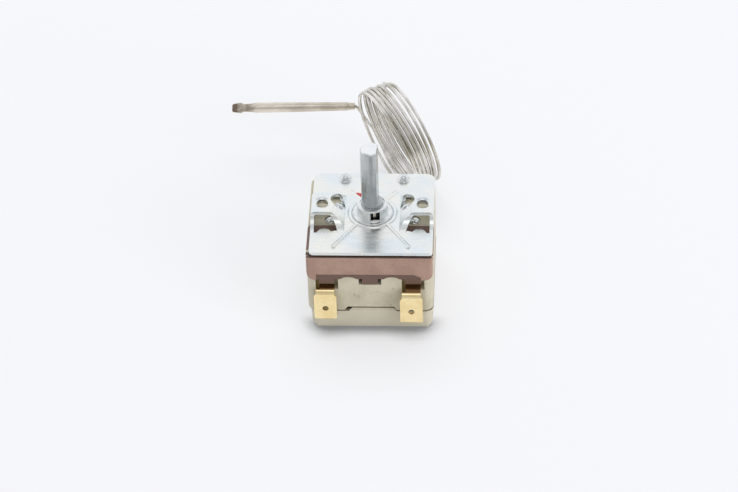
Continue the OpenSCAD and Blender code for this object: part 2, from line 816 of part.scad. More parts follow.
module right_terminal() {
    color([0.83, 0.66, 0.34]) difference() {
        union() {
            terminal(blade_x[1], right_reach, 0.35);
            block([anchor_x - anchor_w, -1.6, strip_z], [blade_x[1], 1.6, chamber_z]);
            block([anchor_x - anchor_w, -1.6, spring_z + spring_t + touch_gap], [anchor_x, 1.6, strip_z + 0.1]);
        }
        pole(terminal_rivet, terminal_rivet_d/2, strip_z - over, chamber_z + over);
    }
}

module fixed_contact() {
    color([0.85, 0.85, 0.83]) pole([contact_x, 0], contact_d/2, strip_z - contact_h, strip_z);
}

module moving_contact() {
    color([0.85, 0.85, 0.83])
        pole([contact_x, 0], contact_d/2 - 0.1, spring_z + spring_t, strip_z - contact_h - touch_gap);
}

module contact_spring() {
    tongue_l = 6;
    tongue_x = -3.5;
    half_w = 1.4;
    slit = 0.6;
    color([0.72, 0.5, 0.28]) translate([0, 0, spring_z]) linear_extrude(spring_t) difference() {
        translate([spring_end_x, -spring_w/2]) square([anchor_x - spring_end_x, spring_w]);
        // A slit on three sides frees the tongue that makes the spring snap over
        for (s = [-1, 1]) translate([tongue_x, s*half_w - slit/2]) square([tongue_l, slit]);
        translate([tongue_x - slit, -half_w - slit/2]) square([slit, 2*half_w + slit]);
    }
}

module push_pin() {
    taper = 0.8;
    color([0.9, 0.88, 0.82]) rotate_extrude() polygon([
        [0, pin_low], [pin_tip_d/2, pin_low], [pin_d/2, pin_low + taper],
        [pin_d/2, pin_top - 0.3], [pin_d/2 - 0.3, pin_top], [0, pin_top]
    ]);
}

// Diaphragm capsule

// Height of a corrugated shell above the parting plane at radius r
function shell_height(r) =
    r < capsule_flat_r ? capsule_half :
    r < capsule_wave_r ? capsule_half - wave_h*(1 - cos(360*(r - capsule_flat_r)/wave_l)) :
    capsule_half*(capsule_rim_r - r)/(capsule_rim_r - capsule_wave_r);

module shell() {
    step = wave_l/6;
    count = floor((capsule_wave_r - capsule_flat_r)/step);
    radii = concat([for (i = [0 : count]) capsule_flat_r + i*step], [capsule_rim_r]);
    upper = [for (r = radii) [r, max(shell_height(r), 0) + shell_t*(r == capsule_rim_r ? 1 : 0)]];
    lower = [for (i = [len(radii) - 1 : -1 : 0]) let(r = radii[i]) [r, max(shell_height(r) - shell_t, 0)]];
    rotate_extrude() polygon(concat(
        [[0, capsule_half]], upper,
        [[capsule_r, shell_t], [capsule_r, 0]], lower,
        [[0, capsule_half - shell_t]]
    ));
}

module diaphragm_lower() {
    color([0.75, 0.74, 0.7]) translate([0, 0, capsule_mid]) mirror([0, 0, 1]) shell();
}

module diaphragm_upper() {
    color([0.72, 0.71, 0.68]) difference() {
        union() {
            translate([0, 0, capsule_mid]) shell();
            pole([stub_x, stub_y], spigot_d/2, capsule_mid + capsule_half - 2*wave_h - touch_gap, stub_z + spigot_d/2);
        }
        translate([stub_x, stub_y, stub_z]) rotate([-90, 0, 0])
            cylinder(d = capillary_d + 0.04, h = spigot_d/2 + over);
    }
}

module thrust_button() {
    z = capsule_mid - capsule_half - button_h;
    color([0.8, 0.8, 0.8]) rotate_extrude() polygon([
        [0, z], [button_r - 0.9, z], [button_r, z + 0.35], [button_r, z + button_h], [0, z + button_h]
    ]);
}

module diaphragm_stud() {
    z = capsule_mid + capsule_half;
    top = socket_top - feed_travel - stud_top_gap;
    color([0.78, 0.7, 0.5]) rotate_extrude() polygon([
        [0, z], [stud_base_d/2, z], [stud_base_d/2, z + stud_base_h], [stud_d/2, z + stud_base_h],
        [stud_d/2, top - 0.4], [stud_d/2 - 0.4, top], [0, top]
    ]);
}

// Capillary and bulb

module capillary_stub() {
    color([0.6, 0.58, 0.55]) translate([stub_x, stub_y + 0.1, stub_z]) rotate([-90, 0, 0])
        cylinder(d = capillary_d, h = lead_y - touch_gap - stub_y - 0.1);
}

module capillary_sleeve() {
    color([0.35, 0.35, 0.36]) translate([stub_x, sleeve_end_y, stub_z]) rotate([90, 0, 0]) difference() {
        union() {
            cylinder(d = sleeve_d, h = sleeve_l);
            cylinder(d = sleeve_flange_d, h = sleeve_flange_t);
        }
        translate([0, 0, -over]) cylinder(d = sleeve_bore_d, h = sleeve_l + 2*over);
    }
}

module capillary_lead() {
    color([0.6, 0.58, 0.55]) tube(lead_route, capillary_d);
}

module capillary_coil() {
    color([0.6, 0.58, 0.55]) translate(coil_mid) rotate([0, coil_tilt, coil_heading])
        rotate_extrude() translate([coil_r, 0]) rounded_rect(coil_band, coil_l, 0.5);
}

module capillary_tail() {
    color([0.6, 0.58, 0.55]) tube(tail_route, capillary_d);
}

module sensing_bulb() {
    turned = bulb_neck_l + bulb_l;
    crimp_w = bulb_d + 0.3;
    color([0.5, 0.44, 0.4]) translate(bulb_neck) rotate([0, 0, bulb_heading]) {
        rotate([0, 90, 0]) rotate_extrude() polygon([
            [0, 0], [bulb_neck_d/2, 0], [bulb_neck_d/2, bulb_neck_l], [bulb_near_d/2, bulb_neck_l + 0.8],
            [bulb_d/2, bulb_neck_l + bulb_l*0.7], [bulb_d/2, turned - 1], [bulb_d/2 - 0.4, turned], [0, turned]
        ]);
        rotate([35, 0, 0]) intersection() {
            translate([turned - 2, -crimp_w/2, -crimp_t/2]) cube([crimp_l + 2, crimp_w, crimp_t]);
            translate([turned - 2, 0, -crimp_w]) linear_extrude(2*crimp_w)
                translate([crimp_l/2 + 1, 0]) rounded_rect(crimp_l + 2, crimp_w - 0.2, 0.9);
        }
    }
}

// Rivets and sealing

// A tubular rivet with a wide collar and a round dome on top
module collar_rivet(at, low, head_d, low_head_h) {
    dome = rivet_dome_d/2;
    collar_h = 0.45;
    dome_h = 1.8;
    translate([at[0], at[1], 0]) rotate_extrude() polygon(concat(
        [[0, low - low_head_h], [head_d/2 - 0.2, low - low_head_h], [head_d/2, low - low_head_h + 0.2],
            [head_d/2, low], [plate_rivet_d/2, low], [plate_rivet_d/2, plate_top]],
        [[rivet_collar_d/2 - 0.15, plate_top], [rivet_collar_d/2, plate_top + 0.15]],
        [[rivet_collar_d/2 - 0.3, plate_top + collar_h]],
        [for (w = [0 : 15 : 90]) [dome*cos(w), plate_top + collar_h + (dome_h - collar_h)*sin(w)]]
    ));
}

module plate_rivets() {
    head_d = rivet_collar_d - 0.5;
    color([0.7, 0.72, 0.74]) both_sides() {
        collar_rivet(inner_rivet, cavity_z - rivet_head_h, head_d, rivet_head_h - 0.1);
        collar_rivet(back_rivet, head_sink, rivet_collar_d, rivet_head_h);
    }
}

module cover_rivets() {
    r = plate_rivet_d/2;
    head = rivet_collar_d/2;
    top = deck_top - rivet_head_h;
    color([0.7, 0.72, 0.74]) for (s = [-1, 1])
        translate([housing_x + s*cover_rivet[0], front_y + cover_rivet[1], 0]) rotate_extrude() polygon([
            [0, head_sink - rivet_head_h], [head, head_sink - rivet_head_h], [head, head_sink],
            [r, head_sink], [r, top], [head, top], [head - 0.3, top + rivet_head_h - 0.2],
            [0, top + rivet_head_h - 0.2]
        ]);
}

module terminal_rivets() {
    r = terminal_rivet_d/2;
    head = contact_d/2;
    seat = housing_top - 0.6;
    color([0.78, 0.74, 0.62]) both_sides() translate([terminal_rivet[0], terminal_rivet[1], 0])
        rotate_extrude() polygon(concat(
            [[0, strip_z - rivet_head_h], [head - 0.2, strip_z - rivet_head_h], [head, strip_z],
                [r, strip_z], [r, seat], [head, seat], [head, seat + 0.3]],
            [for (w = [0 : 18 : 90]) [(head - 0.2)*cos(w), seat + 0.3 + 0.6*sin(w)]]
        ));
}

module seal_lacquer() {
    spots = [[-4.5, 7.9, 1.1], [-3.8, 7.6, 1.4]];
    dab_h = 0.35;
    color([0.78, 0.1, 0.08]) difference() {
        for (s = spots) intersection() {
            translate([s[0], s[1], plate_top + dab_h - s[2]]) sphere(r = s[2]);
            pole([s[0], s[1]], s[2], plate_top, plate_top + over);
        }
        // The dab ends beside the embossed rib
        translate([0, 0, plate_top]) embossing();
    }
}

mounting_plate();
spindle_bushing();
control_spindle();
stop_pin();
spring_washer();
upper_housing();
bottom_cover();
terminal_cover();
left_terminal();
right_terminal();
terminal_rivets();
plate_rivets();
cover_rivets();
fixed_contact();
moving_contact();
contact_spring();
push_pin();
thrust_button();
diaphragm_lower();
diaphragm_upper();
diaphragm_stud();
capillary_stub();
capillary_sleeve();
seal_lacquer();
capillary_lead();
capillary_coil();
capillary_tail();
sensing_bulb();
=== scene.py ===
# %% [markdown]
# # An adjustable capillary thermostat
# This lesson dresses a finished construction model in Blender. The ceramic switch housing, its steel
# plate, the spindle and the rivets come from the construction as a fixed frame. Here they get soft
# edges and real finishes, and the wound capillary tube with its sensing bulb is made from scratch.

# %% Tools
import math

import bmesh
import bpy
import numpy as np
from mathutils import Matrix
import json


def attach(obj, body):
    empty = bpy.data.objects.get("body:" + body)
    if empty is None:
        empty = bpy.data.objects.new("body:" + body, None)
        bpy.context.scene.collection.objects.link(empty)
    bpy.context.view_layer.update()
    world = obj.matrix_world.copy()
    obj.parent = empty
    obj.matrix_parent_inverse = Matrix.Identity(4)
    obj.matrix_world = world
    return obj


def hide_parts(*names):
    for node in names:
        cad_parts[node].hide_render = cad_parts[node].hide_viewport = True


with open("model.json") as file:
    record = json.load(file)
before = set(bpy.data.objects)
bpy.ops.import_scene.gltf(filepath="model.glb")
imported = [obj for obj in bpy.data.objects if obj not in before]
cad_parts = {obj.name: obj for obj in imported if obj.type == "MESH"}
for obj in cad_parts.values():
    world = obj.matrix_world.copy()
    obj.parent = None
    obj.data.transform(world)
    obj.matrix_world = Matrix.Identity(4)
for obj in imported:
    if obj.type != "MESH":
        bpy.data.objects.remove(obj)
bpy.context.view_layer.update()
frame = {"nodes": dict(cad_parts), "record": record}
MM = 0.001
print("construction pieces:", len(frame["nodes"]))

# %% [markdown]
# ## The camera
# A product photograph is taken from a distance with a long lens, so that upright edges stay nearly
# parallel. The camera stands in front of the object, a little to its right, and looks down on it at
# 41 degrees. Three unit vectors describe it: one points back from the object to the camera, one to
# the right of the picture and one up. The camera was held slightly turned, which is its roll.

# %% Camera
AZIMUTH, ELEVATION, ROLL = math.radians(3.381), math.radians(40.975), math.radians(1.867)
DISTANCE = 896.87*MM
LENS, SENSOR = 156.58, 36
SHIFT_RIGHT, SHIFT_UP = -1.014*MM, -9.303*MM
PLATE_TOP = 27.6*MM
NEAREST, FARTHEST = 0.05, 20


def standing(right, up, back, at):
    """The matrix of an object at a place, with its own x, y and z along right, up and back."""
    rows = zip(np.stack([right, up, back], 1), at)
    return Matrix([[*row, spot] for row, spot in rows] + [[0, 0, 0, 1]])


back = np.array([math.sin(AZIMUTH)*math.cos(ELEVATION), -math.cos(AZIMUTH)*math.cos(ELEVATION),
                 math.sin(ELEVATION)])
level = np.array([math.cos(AZIMUTH), math.sin(AZIMUTH), 0])
upright = np.cross(back, level)
right = level*math.cos(ROLL) - upright*math.sin(ROLL)
up = upright*math.cos(ROLL) + level*math.sin(ROLL)
place = np.array([0, 0, PLATE_TOP]) + back*DISTANCE + right*SHIFT_RIGHT + up*SHIFT_UP

lens = bpy.data.cameras.new("camera")
lens.sensor_width = SENSOR
lens.lens = LENS
lens.clip_start, lens.clip_end = NEAREST, FARTHEST
camera = bpy.data.objects.new("camera", lens)
camera.matrix_world = standing(right, up, back, place)
bpy.context.scene.collection.objects.link(camera)
bpy.context.scene.camera = camera
print("camera at", np.round(place, 3))

# %% [markdown]
# ## Helpers for surfaces
# A shape that is new here is a grid of points, worked out with numpy as whole arrays. One helper
# turns such a grid into a closed mesh, and another carries a ring of points along a path, which is
# how a tube is made. The ring is turned along with the path by a parallel frame, so it never twists.

# %% Surface helpers
OFF_PATH = [0.31, 0.2, 0.93]  # a direction that no tube here starts along


def grid_mesh(name, points):
    """A closed mesh from points[i, k]: rings i, with k once round each, and a cap on both end rings."""
    rings, sides, _ = points.shape
    i, k = np.meshgrid(np.arange(rings - 1), np.arange(sides), indexing="ij")
    beside = (k + 1) % sides
    quads = np.stack([i*sides + k, i*sides + beside, (i + 1)*sides + beside, (i + 1)*sides + k], -1)
    faces = [tuple(f) for f in quads.reshape(-1, 4)]
    faces.append(tuple(range(sides - 1, -1, -1)))
    faces.append(tuple(range((rings - 1)*sides, rings*sides)))
    mesh = bpy.data.meshes.new(name)
    mesh.from_pydata(points.reshape(-1, 3).tolist(), [], faces)
    mesh.polygons.foreach_set("use_smooth", np.ones(len(faces), bool))
    mesh.update()
    return mesh


def unit(v):
    """Each vector divided by its own length."""
    return v/np.linalg.norm(v, axis=-1, keepdims=True)


def frames_along(path):
    """Two side vectors for each point: one is carried on from the point before and made square again."""
    tangent = unit(np.gradient(path, axis=0))
    side = np.empty_like(path)
    side[0] = unit(np.cross(tangent[0], OFF_PATH))
    for n in range(1, len(path)):
        side[n] = unit(side[n - 1] - tangent[n]*(side[n - 1] @ tangent[n]))
    return side, np.cross(tangent, side)


def tube_points(path, radius, sides=12):
    """Rings round the path: its point plus radius times (cosine one side vector + sine the other)."""
    side, other = frames_along(path)
    turn = np.linspace(0, 2*math.pi, sides, endpoint=False)
    spoke = np.cos(turn)[None, :, None]*side[:, None] + np.sin(turn)[None, :, None]*other[:, None]
    return path[:, None] + spoke*radius


def smooth_route(points, steps=6):
    """A Catmull-Rom curve through points: each span is a cubic that leaves along its neighbours' chord."""
    p = np.vstack([2*points[0] - points[1], points, 2*points[-1] - points[-2]])
    t = np.arange(steps)[:, None]/steps
    spans = [0.5*(2*b + (c - a)*t + (2*a - 5*b + 4*c - d)*t**2 + (3*b - a - 3*c + d)*t**3)
             for a, b, c, d in zip(p[:-3], p[1:-2], p[2:-1], p[3:])]
    return np.vstack([*spans, points[-1:]])


def add_piece(name, mesh, body):
    """A new object in the scene that rides on a body."""
    piece = bpy.data.objects.new(name, mesh)
    bpy.context.scene.collection.objects.link(piece)
    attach(piece, body)
    return piece


print("surface helpers ready")

# %% [markdown]
# ## The capillary tube
# The capillary is one drawn steel tube, a millimetre thick. It leaves the back of the housing, drops
# behind it to the table and is wound into a loose coil that stands on its edge. From the back of the
# coil its other end bends to the left and runs into the sensing bulb. A curve object could be drawn by
# hand, but hand-wound turns bunch together in some places and gape in others, and that is easier to
# steer with a table: it says how far to the side each turn lies at its foot and at its top, and a
# smooth step joins the entries.

# %% Capillary route
TUBE = 1.0*MM
COIL_MID = np.array([5.9, 46.5, 17.6])
COIL_AXIS = unit(np.array([0.857, 0.471, 0.209]))
COIL_FRONT = unit(np.cross([0, 0, -1], COIL_AXIS))
COIL_DOWN = np.cross(COIL_AXIS, COIL_FRONT)

# Sideways place and radius in mm at the foot and at the top of each turn, in winding order
FOOT_AND_TOP = np.array([
    [-4.85, 16.2], [-3.9, 16.1], [-2.2, 16.2], [-2.6, 16.2], [-1.15, 16.2], [-1.4, 16.2],
    [0, 16.2], [-0.2, 15.5], [1.1, 16.2], [1.0, 15.7], [2.5, 15.1], [4.3, 14.9],
    [4.2, 16.4], [2.7, 15.6], [2.6, 16.3], [0.3, 13.9], [-0.6, 15.0], [-2.7, 15.0], [-3.3, 15.3]])
FIRST_FOOT, HALF_TURN, NINE_TURNS = 90, 180, 3240
# The same two values where the tube leaves the last turn, at these angles in degrees
LEAVE_ANGLES = NINE_TURNS + np.array([115, 135, 152, 166])
LEAVE = np.array([[-3.15, 17.0], [-2.65, 17.35], [-2.55, 17.35], [-3.5, 17.3]])
START_ANGLE = 75
STEPS_PER_TURN = 72

LEAD = np.array([[5, 15.9, 22.4], [5, 18, 22.4], [5, 20.5, 22.3], [5.2, 23.2, 21.2], [5.6, 26, 18],
                 [6, 28.5, 13.5], [6.5, 31, 9], [7, 34, 5], [7, 37.5, 2.4], [6.8, 40, 1.5]])
TAIL = np.array([[-5.0, 60, 13.6], [-5.55, 60, 14.9], [-6.1, 60, 15.9], [-6.6, 60, 16.8],
                 [-7.1, 60, 17.5], [-7.6, 60, 17.8]])


def coil_point(degrees):
    """Middle plus the sideways place along the axis, plus the radius times (cosine front + sine down)."""
    keys = np.vstack([FOOT_AND_TOP, LEAVE])
    at = np.append(FIRST_FOOT + HALF_TURN*np.arange(len(FOOT_AND_TOP)), LEAVE_ANGLES)
    span = np.clip(np.searchsorted(at, degrees, side="right") - 1, 0, len(at) - 2)
    t = np.clip((degrees - at[span])/(at[span + 1] - at[span]), 0, 1)
    t = t*t*(3 - 2*t)
    side, radius = (keys[span]*(1 - t)[:, None] + keys[span + 1]*t[:, None]).T
    a = np.radians(degrees)
    spoke = np.cos(a)[:, None]*COIL_FRONT + np.sin(a)[:, None]*COIL_DOWN
    return COIL_MID + side[:, None]*COIL_AXIS + radius[:, None]*spoke


count = int((LEAVE_ANGLES[-1] - START_ANGLE)/360*STEPS_PER_TURN)
coil = coil_point(np.linspace(START_ANGLE, LEAVE_ANGLES[-1], count))
route = np.vstack([smooth_route(LEAD), coil, smooth_route(TAIL)])*MM

# %% Capillary tube
tube_mesh = grid_mesh("capillary_tube", tube_points(route, TUBE/2))
capillary = add_piece("capillary_tube", tube_mesh, "root")
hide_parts("capillary_lead", "capillary_coil", "capillary_tail")
print("tube faces:", len(tube_mesh.polygons))

# %% [markdown]
# ## The sensing bulb
# The bulb is a closed tube of three millimetres that holds the expanding liquid. At one end it is
# reduced to a neck round the capillary, and at the other it is squeezed flat and sealed. It could be
# lathed and then crushed with a lattice. Here it is one loft instead: every ring is an ellipse, and
# two half axes, a squareness and a twist change along the length, so that the round body runs over
# into the kinked, flat seal without a seam.

# %% Sensing bulb
NECK = TAIL[-1]
HEADING = math.radians(181.8)
# Along the bulb in mm: distance, half width, half height, squareness of the section, twist in degrees
BULB_RINGS = np.array([
    [0, 0.72, 0.72, 2, 0], [0.12, 0.98, 0.98, 2, 0], [0.6, 1.05, 1.05, 2, 0], [1.5, 1.06, 1.06, 2, 0],
    [1.9, 1.1, 1.1, 2, 0], [2.4, 1.24, 1.24, 2, 0], [4, 1.27, 1.27, 2, 0], [12, 1.38, 1.38, 2, 0],
    [20, 1.47, 1.47, 2, 0], [27, 1.5, 1.5, 2, 0], [29.4, 1.5, 1.48, 2, 0], [29.9, 1.42, 1.25, 2.2, -4],
    [30.8, 1.3, 0.85, 2.8, -14], [31.9, 1.2, 0.6, 3.2, -22], [32.9, 1.36, 0.66, 2.6, -8],
    [33.9, 1.6, 0.78, 2.2, -38], [34.8, 1.5, 0.6, 3, -24], [35.8, 1.42, 0.5, 3.4, -14],
    [36.25, 1.34, 0.42, 3.2, -10], [36.38, 1.05, 0.28, 2.6, -10]])


def bulb_points(rings, sides=40, steps=6):
    """Rings |x/a|^n + |y/b|^n = 1, turned by a twist; a, b, n and the twist run straight between rows."""
    key = np.arange(len(rings))
    fine = np.linspace(0, len(rings) - 1, (len(rings) - 1)*steps + 1)
    along, half_w, half_h, power, twist = (np.interp(fine, key, column) for column in rings.T)
    turn = np.linspace(0, 2*math.pi, sides, endpoint=False)
    c, s = np.cos(turn), np.sin(turn)
    flat = 2/power[:, None]
    x = half_w[:, None]*np.sign(c)*np.abs(c)**flat
    y = half_h[:, None]*np.sign(s)*np.abs(s)**flat
    w = np.radians(twist)[:, None]
    across, rise = x*np.cos(w) - y*np.sin(w), x*np.sin(w) + y*np.cos(w)
    ahead = np.array([math.cos(HEADING), math.sin(HEADING), 0])
    aside = np.array([-math.sin(HEADING), math.cos(HEADING), 0])
    middle = NECK + along[:, None, None]*ahead
    return (middle + across[..., None]*aside + rise[..., None]*np.array([0, 0, 1]))*MM


bulb = add_piece("bulb_tube", grid_mesh("bulb_tube", bulb_points(BULB_RINGS)), "root")
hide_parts("sensing_bulb")
print("bulb faces:", len(bulb.data.polygons))

# %% [markdown]
# ## Soft edges on the construction pieces
# Pressed ceramic, moulded phenolic and stamped steel have no sharp edges: each one ends in a small
# radius that catches a line of light. The construction pieces are exact and sharp, and their meshes are
# loose triangles. A copy of each is merged, its flat faces are joined again, and a Bevel modifier
# rounds every edge above a certain angle. The radius is given for each piece in millimetres. A Weighted
# Normal modifier then gives the large flat faces their own direction, so they mirror without waves.
#
# The bottom cover gets one form more. A tongue rises from its front and back walls into a notch of the
# housing, and in the construction it is set back a little, as a loose fit. On the real object its face
# is flush and draws a step in the seam, so a thin block is joined to it with a Boolean.

# %% Soft edges
MERGE_WITHIN = 0.0005*MM
FLAT_WITHIN = math.radians(0.4)
EDGE_ANGLE = math.radians(28)
EDGE_SEGMENTS = 3
record = frame["record"]
slot_of = {part["node"]: part["material_slot"] for part in record["subparts"]}
body_of = {node: body for body, nodes in record["behaviour"]["bodies"].items() for node in nodes}


def prism(outline, near, far):
    """A closed prism: an outline of x and z in mm, set at y = near and again at y = far."""
    ring = np.array([[[x, y, z] for x, z in outline] for y in (near, far)])*MM
    return grid_mesh("prism", ring)


def united(mesh, block):
    """The first mesh joined with the second by a Boolean, read back as one plain mesh."""
    pair = [bpy.data.objects.new(name, data) for name, data in (("whole", mesh), ("block", block))]
    for piece in pair:
        bpy.context.scene.collection.objects.link(piece)
    join = pair[0].modifiers.new("join", "BOOLEAN")
    join.operation, join.object, join.solver = "UNION", pair[1], "EXACT"
    graph = bpy.context.evaluated_depsgraph_get()
    result = bpy.data.meshes.new_from_object(pair[0].evaluated_get(graph))
    for piece in pair:
        bpy.data.objects.remove(piece)
    return result


def soften(node, width, blocks):
    """A merged copy of a construction piece, joined with blocks, its edges rounded by a Bevel modifier."""
    mesh = frame["nodes"][node].data.copy()
    mesh.materials.clear()
    work = bmesh.new()
    work.from_mesh(mesh)
    bmesh.ops.remove_doubles(work, verts=work.verts, dist=MERGE_WITHIN)
    bmesh.ops.dissolve_limit(work, angle_limit=FLAT_WITHIN, verts=work.verts, edges=work.edges)
    work.to_mesh(mesh)
    work.free()
    for block in blocks:
        mesh = united(mesh, block)
    mesh.polygons.foreach_set("use_smooth", np.ones(len(mesh.polygons), bool))
    piece = add_piece(node + "_soft", mesh, body_of[node])
    edges = piece.modifiers.new("soft edges", "BEVEL")
    edges.width = width*MM
    edges.segments = EDGE_SEGMENTS
    edges.limit_method = "ANGLE"
    edges.angle_limit = EDGE_ANGLE
    flat = piece.modifiers.new("flat faces", "WEIGHTED_NORMAL")
    flat.mode = "FACE_AREA"
    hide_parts(node)
    return piece


EDGE_RADII = {
    "mounting_plate": 0.16, "spindle_bushing": 0.08, "control_spindle": 0.07, "upper_housing": 0.14,
    "bottom_cover": 0.14, "terminal_cover": 0.2, "left_terminal": 0.09, "right_terminal": 0.09,
    "terminal_rivets": 0.08, "plate_rivets": 0.07, "cover_rivets": 0.08}
SEAM_TONGUE = [[-6.35, 5.9], [6.75, 5.9], [6.75, 6.4], [5.9, 7.3], [-5.4, 7.3], [-6.35, 6.4]]
TONGUE_IN, TONGUE_OUT = 16.0, 17.05
EXTRA = {"bottom_cover": [prism(SEAM_TONGUE, -TONGUE_OUT, -TONGUE_IN),
                          prism(SEAM_TONGUE, TONGUE_IN, TONGUE_OUT)]}
soft = {node: soften(node, width, EXTRA.get(node, ())) for node, width in EDGE_RADII.items()}
print("softened:", ", ".join(soft))

# %% [markdown]
# ## The rim ring
# Round the spindle, just under the rim of the bushing, the photograph shows a bright narrow ring that
# closes the gap. It is the collar that was pressed in last. A ring like this is a lathe shape: a small
# closed profile is carried round the axis.

# %% Rim ring
RIM_PROFILE = np.array([[3.06, 30.72], [3.06, 30.95], [3.14, 31.03], [3.42, 31.03], [3.47, 30.98],
                        [3.47, 30.72]])*MM


def lathed(profile, sides=96):
    """Rings of constant angle: every profile point (r, z) goes to (r cosine, r sine, z)."""
    angle = np.linspace(0, 2*math.pi, sides, endpoint=False)[:, None]
    r, z = profile.T
    return np.stack([r*np.cos(angle), r*np.sin(angle), np.broadcast_to(z, (sides, len(z)))], -1)


def closed_mesh(name, points):
    """A mesh from points[i, k] that is closed in both directions, with its faces turned outwards."""
    rings, sides, _ = points.shape
    i, k = np.meshgrid(np.arange(rings), np.arange(sides), indexing="ij")
    after, beside = (i + 1) % rings, (k + 1) % sides
    quads = np.stack([i*sides + k, after*sides + k, after*sides + beside, i*sides + beside], -1)
    mesh = bpy.data.meshes.new(name)
    mesh.from_pydata(points.reshape(-1, 3).tolist(), [], quads.reshape(-1, 4).tolist())
    work = bmesh.new()
    work.from_mesh(mesh)
    bmesh.ops.recalc_face_normals(work, faces=work.faces)
    work.to_mesh(mesh)
    work.free()
    return mesh


rim = add_piece("rim_ring", closed_mesh("rim_ring", lathed(RIM_PROFILE)), "root")
print("rim ring faces:", len(rim.data.polygons))

# %% [markdown]
# ## Node helpers
# All finishes are made of shader nodes. A few helpers keep their cells short: one adds a node with its
# settings and inputs, one mixes two colours, and two make and place a node group with named sockets.

# %% Node helpers
MIX_FIRST, MIX_SECOND, MIX_RESULT = 6, 7, 2  # a Mix node has one set of sockets for each kind of data


def is_socket(value):
    """Whether a value is a node's socket, which is linked, and not a number or a colour, which is set."""
    return isinstance(value, bpy.types.NodeSocket)


def add(tree, kind, inputs=None, **settings):
    """A new node in a tree; an input is set to a value or linked from a socket."""
    node = tree.nodes.new(kind)
    for key, value in settings.items():
        setattr(node, key, value)
    for key, value in (inputs or {}).items():
        if is_socket(value):
            tree.links.new(value, node.inputs[key])
        else:
            node.inputs[key].default_value = value
    return node


def mix_colours(tree, factor, first, second):
    """A mix of two colours, sockets or plain ones: the first at factor 0 and the second at factor 1."""
    first, second = (value if is_socket(value) else (*value, 1) for value in (first, second))
    node = add(tree, "ShaderNodeMix", {0: factor, MIX_FIRST: first, MIX_SECOND: second}, data_type="RGBA")
    return node.outputs[MIX_RESULT]


def calculate(tree, operation, *values):
    """The result of a Math node for two or three values or sockets."""
    return add(tree, "ShaderNodeMath", dict(enumerate(values)), operation=operation).outputs[0]


def between(tree, value, start, end, low=0.0, high=1.0, curve="LINEAR"):
    """A value mapped so that start gives low and end gives high, and no more beyond them."""
    ranges = {"Value": value, "From Min": start, "From Max": end, "To Min": low, "To Max": high}
    return add(tree, "ShaderNodeMapRange", ranges, interpolation_type=curve).outputs["Result"]


def open_group(name, inputs, outputs):
    """A new shader node group with its sockets; returns the tree and its input and output nodes."""
    tree = bpy.data.node_groups.new(name, "ShaderNodeTree")
    kinds = {"colour": "NodeSocketColor", "number": "NodeSocketFloat", "vector": "NodeSocketVector"}
    for label, (kind, value) in inputs.items():
        tree.interface.new_socket(label, in_out="INPUT", socket_type=kinds[kind]).default_value = value
    for label, kind in outputs.items():
        tree.interface.new_socket(label, in_out="OUTPUT", socket_type=kinds[kind])
    return tree, add(tree, "NodeGroupInput"), add(tree, "NodeGroupOutput")


def place_group(tree, group, **inputs):
    """A group node in a material, with its inputs given by their names."""
    return add(tree, "ShaderNodeGroup", inputs, node_tree=group)


print("node helpers ready")

# %% [markdown]
# ## Four shared effects
# Most finishes of the object are built from the same things. Cloudy variation makes any surface a
# little lighter and darker from place to place. Specks are the small dark grains in pressed ceramic
# and the flecks in moulded phenolic. Streaks are the fine lines that rolling, drawing or turning leaves
# in metal: a noise that is stretched along one direction. The pocket is a soft-edged box that marks a
# place, such as a seam, where a colour is mixed in: mostly painted shade or a painted highlight, and
# also dust or a lighter tone. Each is a group that puts out masks or colours, and every material sets
# its own values.

# %% Cloudy variation
DARK_BELOW, LIGHT_ABOVE = 0.36, 0.64
clouds, source, sink = open_group(
    "cloudy colour",
    {"Light": ("colour", (0.8, 0.8, 0.8, 1)), "Dark": ("colour", (0.4, 0.4, 0.4, 1)),
     "Scale": ("number", 300.0)},
    {"Colour": "colour", "Mask": "number"})
where = add(clouds, "ShaderNodeTexCoord").outputs["Object"]
wide = add(clouds, "ShaderNodeTexNoise", {"Vector": where, "Scale": source.outputs["Scale"],
                                          "Detail": 4.0, "Roughness": 0.55})
step = between(clouds, wide.outputs["Fac"], DARK_BELOW, LIGHT_ABOVE, curve="SMOOTHSTEP")
blend = mix_colours(clouds, step, source.outputs["Dark"], source.outputs["Light"])
clouds.links.new(blend, sink.inputs["Colour"])
clouds.links.new(step, sink.inputs["Mask"])
print("group:", clouds.name)

# %% Specks
HIGHEST_START, SPECK_EDGE = 0.75, 0.07
specks, source, sink = open_group(
    "specks", {"Scale": ("number", 2500.0), "Share": ("number", 0.3)}, {"Mask": "number"})
where = add(specks, "ShaderNodeTexCoord").outputs["Object"]
grains = add(specks, "ShaderNodeTexNoise", {"Vector": where, "Scale": source.outputs["Scale"],
                                            "Detail": 2.0, "Roughness": 0.5})
start = calculate(specks, "SUBTRACT", HIGHEST_START, source.outputs["Share"])
end = calculate(specks, "ADD", start, SPECK_EDGE)
specks.links.new(between(specks, grains.outputs["Fac"], start, end), sink.inputs["Mask"])
print("group:", specks.name)

# %% Streaks
STREAK_LOW, STREAK_HIGH = 0.3, 0.7
streaks, source, sink = open_group(
    "streaks", {"Stretch": ("vector", (1.0, 1.0, 1.0)), "Scale": ("number", 1000.0)}, {"Mask": "number"})
where = add(streaks, "ShaderNodeTexCoord").outputs["Object"]
drawn = add(streaks, "ShaderNodeMapping", {"Vector": where, "Scale": source.outputs["Stretch"]})
lines = add(streaks, "ShaderNodeTexNoise", {"Vector": drawn.outputs[0], "Scale": source.outputs["Scale"],
                                            "Detail": 3.0, "Roughness": 0.6})
even = between(streaks, lines.outputs["Fac"], STREAK_LOW, STREAK_HIGH)
streaks.links.new(even, sink.inputs["Mask"])
print("group:", streaks.name)

